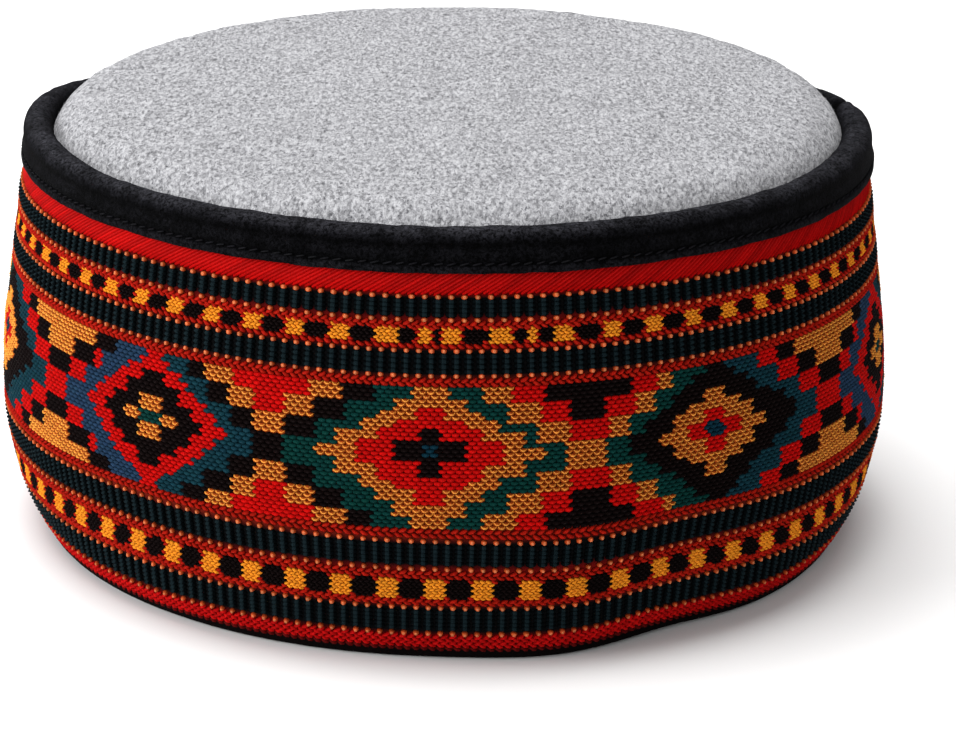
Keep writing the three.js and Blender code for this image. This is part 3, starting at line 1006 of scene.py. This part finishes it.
# Creases where the tail comes out from inside the front roll, as (azimuth, share of the way over)
LAP_CREASES = [
    {"line": [(82, 0.86), (86, 0.74), (91, 0.66), (96, 0.58), (99.5, 0.46)], "deep": 1.3, "wide": 0.04},
    {"line": [(99, 0.60), (104, 0.56), (112, 0.55)], "deep": 0.7, "wide": 0.03},
]


def creases_at(around, share):
    """How deep the cloth is creased at the lap."""
    total = 0
    for crease in LAP_CREASES:
        turns, shares = np.array(crease["line"]).T
        middle = np.interp(around, turns, shares)
        ends = eased(around, turns[0] - 1, turns[0] + 2) * (1 - eased(around, turns[-1] - 2, turns[-1] + 1))
        away = (share[:, None] - middle[None, :]) / crease["wide"]
        total = total + crease["deep"] * ends[None, :] * np.exp(-(away**2))
    return total


def binding_rings(around, rise):
    """Rings of the strip's outer face and inner face, and the painted light and shade of the nap there.
    The rise moves the outer face out, where the strip lies over its own end."""
    radii, heights = saddle(BINDING_DROP, BINDING_TUCK, FIT)
    steps = np.hypot(np.gradient(radii), np.gradient(heights))
    share = np.cumsum(steps) / steps.sum()
    above = np.where(share < OUTER_SHARE, heights - (edge_height - BINDING_DROP), BINDING_DROP)
    groove = GROOVE_DEPTH * np.exp(-(((above - GROOVE_HEIGHT) / GROOVE_WIDTH) ** 2))
    lip = LIP_THINNER * (1 - eased(above, GROOVE_HEIGHT - LIP_SOFTNESS, GROOVE_HEIGHT + LIP_SOFTNESS))
    edge = CUT_EDGE + (1 - CUT_EDGE) * np.sqrt(np.clip(above / CUT_REACH, 0, 1))
    thickness = (BINDING_CLOTH + BINDING_PUFF * np.sin(np.pi * share) - groove - lip) * edge
    turned = turn_between(around, 0)
    fuller = SIDE_ROLL * eased(turned, *SIDE_ROLL_FROM) * (1 - eased(turned, *SIDE_ROLL_TO))
    turns_in = BINDING_ROLL * (1 - eased(turned, *ROLL_FADE)) + fuller
    roll = np.maximum(0, np.sin(2 * np.pi * (share - OUTER_SHARE)))[:, None] * turns_in[None, :]
    out_r = np.gradient(heights) / steps
    out_z = -np.gradient(radii) / steps
    out = thickness[:, None] + roll + np.maximum(0, out_r)[:, None] * rise[None, :]
    tail = TAIL_BULK * eased(around, *TAIL_FROM) * (1 - eased(around, *TAIL_TO))
    bulk = np.clip(np.sin(np.pi * (share - TAIL_SHARE_FROM) / TAIL_SHARE_WIDE), 0, 1)
    out = out + tail[None, :] * bulk[:, None]
    out = out - np.minimum(creases_at(around, share), out - THINNEST)
    inner_r = np.repeat(radii[:, None], len(around), axis=1)
    inner_z = np.repeat(heights[:, None], len(around), axis=1)
    ring_r = np.concatenate([inner_r + out_r[:, None] * out, inner_r[::-2]])
    ring_z = np.concatenate([inner_z + out_z[:, None] * out, inner_z[::-2]])
    radius, height = settle(around[None, :], ring_r, ring_z)
    # A painted highlight where the nap faces up, cut back to painted shade just above the groove
    clear_of_groove = eased(above, GROOVE_HEIGHT, GROOVE_HEIGHT + GROOVE_SHADE_RISE)
    painted_top_light = np.clip(out_z, 0, 1) ** 0.8 * (TOP_LIGHT_AT_GROOVE + (1 - TOP_LIGHT_AT_GROOVE) * clear_of_groove)
    lighter_lip = LIP_LIGHTER * (1 - eased(above, GROOVE_HEIGHT - 0.7, GROOVE_HEIGHT - 0.3))
    # Painted shade in the lap's creases
    lightness = np.clip((painted_top_light + lighter_lip)[:, None] - creases_at(around, share), 0, 1)
    lightness = np.concatenate([lightness, np.zeros_like(inner_r[::-2])])
    return placed(around[None, :], radius, height), lightness


# The turns are closer together near the lap than on the plain part
PLAIN_FROM, PLAIN_TO = 20, 344
PLAIN_STEP, FINE_STEP = 1.2, 0.4
binding_around = LAP_AZIMUTH + np.concatenate([
    np.arange(0, PLAIN_FROM, FINE_STEP),
    np.arange(PLAIN_FROM, PLAIN_TO, PLAIN_STEP),
    np.arange(PLAIN_TO, 360 - LAP_GAP, FINE_STEP),
])
binding_rise = LAP_STEP * (binding_around - LAP_AZIMUTH) / 360
lap_turns = (binding_around + 180) % 360 - 180
rings, nap_light = binding_rings(lap_turns, binding_rise)
nap_lumps = soft_lumps(rings / MM, wavelength=7, seed=8)
nap_lumps += 0.5 * soft_lumps(rings / MM, wavelength=2.5, seed=9)
rings[..., 2] += nap_lumps * NAP_LUMP * MM
binding = lofted("binding_cloth", rings, section_closed=True)

# The nap is painted lighter grey where it faces up, a painted highlight, and is lighter along the lip;
# painted shade keeps it deep black in its folds and just above the groove
napped, napped_tree, napped_shader = cloth_material(
    "black_nap", roughness=0.95, sheen=0.005, sheen_colour=(0.55, 0.55, 0.6, 1))
nap_lightness = add_node(napped_tree, "ShaderNodeAttribute", attribute_name="lightness")
napped_lightness = add_ramp(napped_tree, nap_lightness.outputs["Fac"], [
    (0.0, linear(5, 5, 6)), (0.5, linear(28, 28, 32)), (1.0, linear(54, 54, 59))])
napped_pile = add_mottle(napped_tree, [(0.4, 0.1), (0.62, 1)], scale=1500, detail=5, distortion=0.6)
napped_patches = add_mottle(napped_tree, [(0.36, 0.4), (0.62, 1)], scale=190, detail=3, distortion=0.3)
napped_colour = add_mix(napped_tree, "MULTIPLY", napped_lightness, napped_pile, napped_patches)
napped_tree.links.new(napped_colour, napped_shader.inputs["Base Color"])
napped_relief = add_noise(napped_tree, scale=2200, detail=5)
add_bump(napped_tree, napped_shader, napped_relief, strength=1.0, distance=0.0005)
give_values(binding.data, "lightness", "FLOAT", nap_light)
binding.data.materials.append(napped)
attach(binding, "root")
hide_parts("binding")

# Stitches along the groove, in black thread a little lighter than the cloth
STITCHES = 235
STITCH_SIZE = (1.9, 0.5, 0.4)
STITCH_SLANT = 14
stitch_turns = columns_round(STITCHES, 1, 0)
stitch_level = FIT + BINDING_CLOTH - GROOVE_DEPTH + LAP_STEP * ((stitch_turns - LAP_AZIMUTH) % 360) / 360
lay_threads("binding_stitches", cord_shape, stitch_turns, edge_height - BINDING_DROP + GROOVE_HEIGHT,
            STITCH_SIZE, STITCH_SLANT, dye_number("black_thread"), seed=70, level=stitch_level)
bpy.data.objects.remove(cord_shape)
